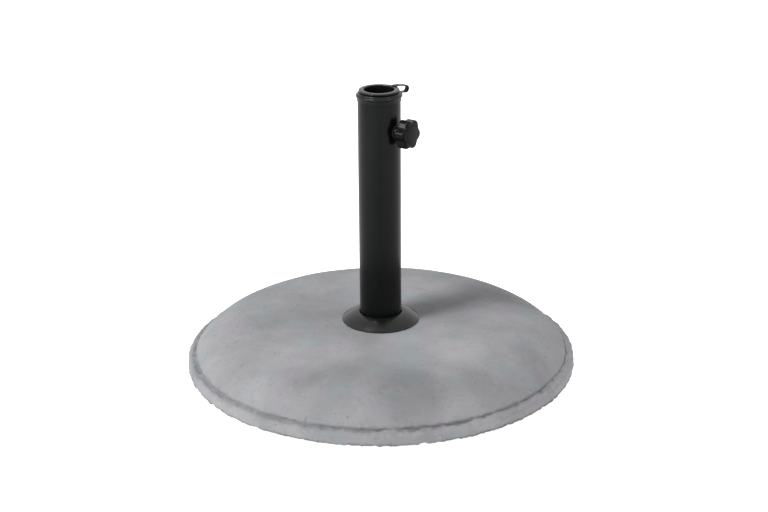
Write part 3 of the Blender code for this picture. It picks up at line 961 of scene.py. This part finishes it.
def reducer():
    """The sleeve that narrows the mouth, with a rounded flange and low ribs in its bore."""
    flange_low = COLLAR_TOP_Z + 0.3
    sleeve = COLLAR_BORE - 0.3
    profile = rounded([
        (REDUCER_BORE, REDUCER_TOP_Z - 0.1, 0.8), (REDUCER_BORE + 2.6, REDUCER_TOP_Z, 0.6),
        (FLANGE_RADIUS - 0.05, REDUCER_TOP_Z - 0.15, 0.8), (FLANGE_RADIUS, REDUCER_TOP_Z - 1.5, 0.4),
        (FLANGE_RADIUS - 0.7, flange_low, 0.3), (sleeve, flange_low, 0.2),
        (sleeve, SLEEVE_BOTTOM_Z, 0.4), (REDUCER_BORE, SLEEVE_BOTTOM_Z, 0.4),
    ], 4)
    rings = []
    for radius, z in profile:
        inside = radius < REDUCER_BORE + 0.05 and z < REDUCER_TOP_Z - 1.6
        ring = []
        for angle in full_turn(240):
            folded = (angle * REDUCER_RIBS / (2 * math.pi)) % 1.0
            rib = 0.3 * smoothstep(0.07, 0.05, abs(folded - 0.5))
            ring.append(polar(radius - (rib if inside else 0.0), angle, z))
        rings.append(ring)
    piece = make("reducer", Shape(rings, closed=True), sharp=35)
    dress(piece, "reducer", REDUCER_PLASTIC, "black_plastic", "reducer_sleeve")


STRAP_AZIMUTH = 35.0
STRAP_BEND = (34.4, 320.4)
STRAP_BEND_RADIUS = 3.8


def strap_path():
    """The strap's middle line as (radius, z), from its tab on the sleeve to its root."""
    path = [(18.6, 325.25), (21.5, 325.60), (26.0, 325.55), (30.5, 324.75)]
    path += arc(STRAP_BEND, STRAP_BEND_RADIUS, 84, -98, 22)
    path += [(30.6, 317.1), (27.6, 317.6), (25.3, 317.8)]
    return resampled(path, 0.7)


def strap():
    """The strap that tethers the reducer to the collar, with a tab at each end."""
    path = strap_path()
    length = len(path) - 1
    rings = []
    for i, (reach, z) in enumerate(path):
        before = path[max(i - 1, 0)]
        after = path[min(i + 1, length)]
        run = Vector((after[0] - before[0], after[1] - before[1])).normalized()
        along = i / length
        tab = smoothstep(0.13, 0.03, along)
        root = smoothstep(0.86, 0.98, along)
        half_width = 3.5 + 0.9 * tab + 0.6 * root
        # the tab's free end is rounded off in plan
        half_width *= math.sqrt(max(1 - (max(0.055 - along, 0.0) / 0.06) ** 2, 0.02))
        half_thick = 0.56 - 0.26 * tab + 0.15 * root
        section = rounded([
            (-half_width, -half_thick, 0.26), (half_width, -half_thick, 0.26),
            (half_width, half_thick, 0.26), (-half_width, half_thick, 0.26),
        ], 3)
        rings.append([(reach - run.y * up, across, z + run.x * up) for across, up in section])
    turn = Matrix.Rotation(math.radians(STRAP_AZIMUTH), 4, "Z")
    piece = make("tether", sweep(rings), turn, sharp=50)
    piece.data.materials.append(STRAP_PLASTIC)
    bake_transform(piece)
    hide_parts("tether_strap")


# ======================== clamp screw and knob
KNOB_LOBES = 6
KNOB_LOBE_TURN = 21.0        # degrees from straight up to the nearest lobe
KNOB_SWING = 1.33            # half the height of a lobe
KNOB_HOLLOW_RADIUS = 9.8     # the hollow in the knob's back, which clears the boss
KNOB_HOLLOW_DEPTH = 3.4
KNOB_STEPS = 240
BOSS_BORE = 4.15


def saddle(across):
    """How far out the tube's wall is, at a distance to one side of the screw's axis."""
    return math.sqrt(TUBE_RADIUS ** 2 - across ** 2)


def boss():
    """The threaded boss: a short turned sleeve that follows the tube's curve at its root."""
    face = rounded([
        (BOSS_RADIUS, BOSS_FACE - 3, 0), (BOSS_RADIUS, BOSS_FACE, 0.6), (4.9, BOSS_FACE, 0.3),
        (BOSS_BORE, BOSS_FACE - 0.9, 0.2), (BOSS_BORE, BOSS_FACE - 3, 0),
    ], 4, closed=False)
    rings = []
    for radius, along in [(BOSS_RADIUS, None), *face[1:], (BOSS_BORE, None)]:
        ring = []
        for x, y, _ in circle(radius, 0.0, 96):
            ring.append((x, y, saddle(y) + 0.3 if along is None else along))
        rings.append(ring)
    piece = make("boss", Shape(rings[::-1], closed=True), CLAMP_FRAME, sharp=35)
    dress(piece, "base", BOSS_COAT_SHADED, "black_powder_coat", "clamp_boss")


def boss_weld():
    """The fillet weld round the boss, on the curve of the tube."""
    rings = []
    for angle in full_turn(120):
        ripple = 0.10 * math.sin(angle * 19) + 0.08 * noise.noise(Vector((angle * 3, 1.0, 8.0)))
        leg = 1.7 + ripple
        section = []
        for out, up in ((-0.4, -0.2), (-0.3, leg), (0.25 * leg, 0.70 * leg), (0.62 * leg, 0.3 * leg),
                        (leg, -0.15)):
            x, y, _ = polar(BOSS_RADIUS + out, angle, 0.0)
            section.append((x, y, saddle(y) + up))
        rings.append(section)
    piece = make("boss_weld", sweep(rings, closed=True), CLAMP_FRAME, sharp=60)
    dress(piece, "base", BOSS_COAT_SHADED, "black_powder_coat")


def thrust_pad():
    profile = rounded([
        (0, PAD_END - 1.4, 0), (2.3, PAD_END - 1.4, 0.2), (2.5, PAD_END, 0.2),
        (PAD_RADIUS, PAD_END, 0.4), (PAD_RADIUS, PAD_START, 0.7), (1.6, PAD_START, 0.2),
        (1.2, PAD_START + 0.4, 0.2), (0, PAD_START + 0.4, 0),
    ], 3, closed=False)
    piece = make("thrust_cap", lathe(profile, 64, closed=False), CLAMP_FRAME)
    dress(piece, "thrust_pad", PAD_PLASTIC, "black_plastic", "clamp_pad")


def screw():
    shank = PAD_END + 0.3
    shape = thread_shape(3.9, 1.25, shank, SCREW_END)
    tip = rounded([
        (0, shank + 1, 0), (2.0, shank + 1, 0), (2.0, shank - 1.3, 0.3), (0, shank - 1.3, 0),
    ], 3, closed=False)
    lathe(tip, 40, closed=False, shape=shape)
    piece = make("threaded_screw", shape, CLAMP_FRAME, sharp=60)
    dress(piece, "knob", BLACK_ZINC, "zinc_steel", "clamp_screw")


def knob_ring(size, lobed, along):
    """One section of the knob: a circle with a share of the full lobes."""
    first = math.pi + math.radians(KNOB_LOBE_TURN)
    ring = []
    for angle in full_turn(KNOB_STEPS):
        wave = math.cos(KNOB_LOBES * (angle - first)) - 1.0
        radius = size * (KNOB_TIP_RADIUS + KNOB_SWING * lobed * wave)
        ring.append(polar(radius, angle, along))
    return ring


def knob():
    """The hand knob: a thick six-lobed disc with a rounded face and a hollowed back."""
    back, face = KNOB_BACK, KNOB_FACE
    hollow, floor = KNOB_HOLLOW_RADIUS, KNOB_BACK + KNOB_HOLLOW_DEPTH
    recess = CAP_RADIUS + 0.14
    # (share of the tip radius, distance along the screw) down the knob's side
    side = [
        (0.855, face - 0.35), (0.895, face - 0.50), (0.940, face - 0.95), (0.978, face - 1.8),
        (0.998, face - 2.6), (1.0, face - 4.2), (1.0, back + 2.1), (0.994, back + 1.4),
        (0.970, back + 0.7), (0.930, back + 0.25), (0.880, back),
    ]
    rings = []
    for radius, along in ((recess, face - 0.2), (recess + 0.2, face - 0.02)):
        rings.append(circle(radius, along, KNOB_STEPS))
    rings.append(knob_ring(0.74, 0.3, face - 0.12))
    for size, along in spline(side, 5):
        rings.append(knob_ring(size, smoothstep(back - 3.0, back + 1.5, along), along))
    # the hollow, the ring round the screw, the screw's bore and the recess for the cap
    for radius, along in (
            (hollow + 0.3, back), (hollow, back + 0.3), (hollow - 0.1, floor - 0.3),
            (hollow - 0.4, floor), (6.4, floor), (6.1, floor - 0.5), (5.2, floor - 0.5),
            (4.3, floor - 0.3), (4.3, face - 3.4), (4.2, CAP_LOW - 0.3),
            (recess - 0.3, CAP_LOW - 0.3), (recess, CAP_LOW)):
        rings.append(circle(radius, along, KNOB_STEPS))
    piece = make("hand_knob", Shape(rings, closed=True), CLAMP_FRAME, sharp=38)
    dress(piece, "knob", KNOB_PLASTIC, "knob_plastic", "clamp_knob")


def knob_cap():
    profile = rounded([
        (0, KNOB_FACE + 0.60, 0), (CAP_RADIUS * 0.3, KNOB_FACE + 0.555, 0),
        (CAP_RADIUS * 0.6, KNOB_FACE + 0.40, 0), (CAP_RADIUS * 0.85, KNOB_FACE + 0.18, 0),
        (CAP_RADIUS - 0.05, KNOB_FACE + 0.02, 0.2), (CAP_RADIUS, CAP_LOW + 0.1, 0.1),
        (0, CAP_LOW + 0.1, 0),
    ], 4, closed=False)
    piece = make("knob_cover", lathe(profile, 96, closed=False), CLAMP_FRAME, sharp=30)
    dress(piece, "knob", CAP_PLASTIC, "knob_plastic", "knob_cap")


for build in (
        concrete_body, foot_pads, tube, foot_plate, tube_foot_weld, tie_nut, tie_bolt,
        flat_washer, split_washer, rosette, collar, reducer, strap, boss, boss_weld,
        thrust_pad, screw, knob, knob_cap):
    build()


# ======================== stage, light and camera
FLOOR_GLOW = 0.55            # light the table gives off
FLOOR_WHITENING = 0.30       # extra brightness that only the camera sees
FLOOR_IN_GLOSS = (1.30, 0.78, 1.15)  # its brightness in reflections: left, middle, right


def floor_material():
    """A pale light table: white, faintly lit from within, clear when seen from below."""
    n = Nodes("pale_floor")
    rays = n.node("ShaderNodeLightPath")
    whitening = n.math("MULTIPLY", rays["Is Camera Ray"], FLOOR_WHITENING)
    glow = n.node("ShaderNodeEmission", {"Strength": n.math("ADD", whitening, FLOOR_GLOW)})[0]
    white = n.node("ShaderNodeBsdfDiffuse", {"Color": (0.85, 0.85, 0.85)})[0]
    seen = n.node("ShaderNodeAddShader", {0: white, 1: glow})[0]
    left, middle, right = FLOOR_IN_GLOSS
    brightness = middle
    for side, there in ((-1.0, left), (1.0, right)):
        ramp = n.ranged(n.component("X"), 0.0, side, 0.0, there - middle, "LINEAR")
        brightness = n.math("ADD", ramp, brightness)
    mirrored = n.node("ShaderNodeEmission", {"Strength": brightness})[0]
    above = n.node("ShaderNodeMixShader", {0: rays["Is Glossy Ray"], 1: seen, 2: mirrored})[0]
    below = n.node("ShaderNodeNewGeometry")["Backfacing"]
    clear = n.node("ShaderNodeBsdfTransparent")[0]
    surface = n.node("ShaderNodeMixShader", {0: below, 1: above, 2: clear})[0]
    n.set(n.tree.nodes["Material Output"], {"Surface": surface})
    return n.owner


def floor():
    size = 6000
    shape = Shape()
    shape.points = [(-size, -size, 0), (size, -size, 0), (size, size, 0), (-size, size, 0)]
    shape.faces = [(0, 1, 2, 3)]
    piece = make("pale_floor", shape)
    piece.data.materials.append(floor_material())


def world(on_matt, in_gloss):
    """A white surround: full for the camera, in_gloss in reflections, on_matt as light."""
    n = Nodes("studio", "worlds")
    bpy.context.scene.world = n.owner
    rays = n.node("ShaderNodeLightPath")
    strength = n.choose(rays["Is Glossy Ray"], on_matt, in_gloss)
    strength = n.choose(rays["Is Camera Ray"], strength, 1.0)
    n.set(n.tree.nodes["Background"], {"Color": (1.0, 1.0, 1.0), "Strength": strength})


LIGHT_TARGET = Vector((0.0, 0.0, 0.08))


def softbox(name, azimuth, elevation, distance, size, power, shine=True):
    """A square area light that faces the object. Azimuth 0 is +X, 90 is +Y."""
    light = bpy.data.lights.new(name, "AREA")
    light.shape = "SQUARE"
    light.size = size
    light.energy = power
    lamp = bpy.data.objects.new(name, light)
    rise = math.radians(elevation)
    away = Vector(polar(math.cos(rise), math.radians(azimuth), math.sin(rise)))
    lamp.location = LIGHT_TARGET + away * distance
    lamp.rotation_euler = away.to_track_quat("Z", "Y").to_euler()
    lamp.visible_glossy = shine
    bpy.context.scene.collection.objects.link(lamp)


CAMERA_PLACE = (0.0, -1.709, 0.7916)
CAMERA_PITCH = 21.23         # degrees below level
CAMERA_YAW = -0.16
CAMERA_ROLL = -0.37
CAMERA_SHIFT = -0.000586     # sideways, as a share of the picture's width


def camera():
    """A long lens in front of the base, tilted down at it and rolled by a fraction."""
    data = bpy.data.cameras.new("camera")
    data.lens = 75.0
    data.sensor_width = 36.0
    data.shift_x = CAMERA_SHIFT
    made = bpy.data.objects.new("camera", data)
    made.matrix_world = (
        Matrix.Translation(CAMERA_PLACE)
        @ Matrix.Rotation(math.radians(CAMERA_YAW), 4, "Z")
        @ Matrix.Rotation(math.radians(90 - CAMERA_PITCH), 4, "X")
        @ Matrix.Rotation(math.radians(CAMERA_ROLL), 4, "Z"))
    bpy.context.scene.collection.objects.link(made)
    bpy.context.scene.camera = made


floor()
world(on_matt=0.10, in_gloss=1.0)
softbox("key", 213, 58, 2.2, 0.35, 25)
softbox("left_low", 200, 35, 2.2, 0.35, 13)
softbox("left_wall", 180, 15, 2.2, 1.0, 11, shine=False)
softbox("back_wall", 90, 15, 2.2, 1.0, 13, shine=False)
softbox("back_right", 45, 15, 2.2, 1.0, 8, shine=False)
softbox("front_low", 268, 8, 2.2, 1.0, 8, shine=False)
softbox("right_wall", 0, 38, 2.2, 1.0, 9, shine=False)
softbox("front_right", 328, 48, 2.2, 0.35, 5)
camera()
bpy.context.scene.view_settings.view_transform = "Standard"
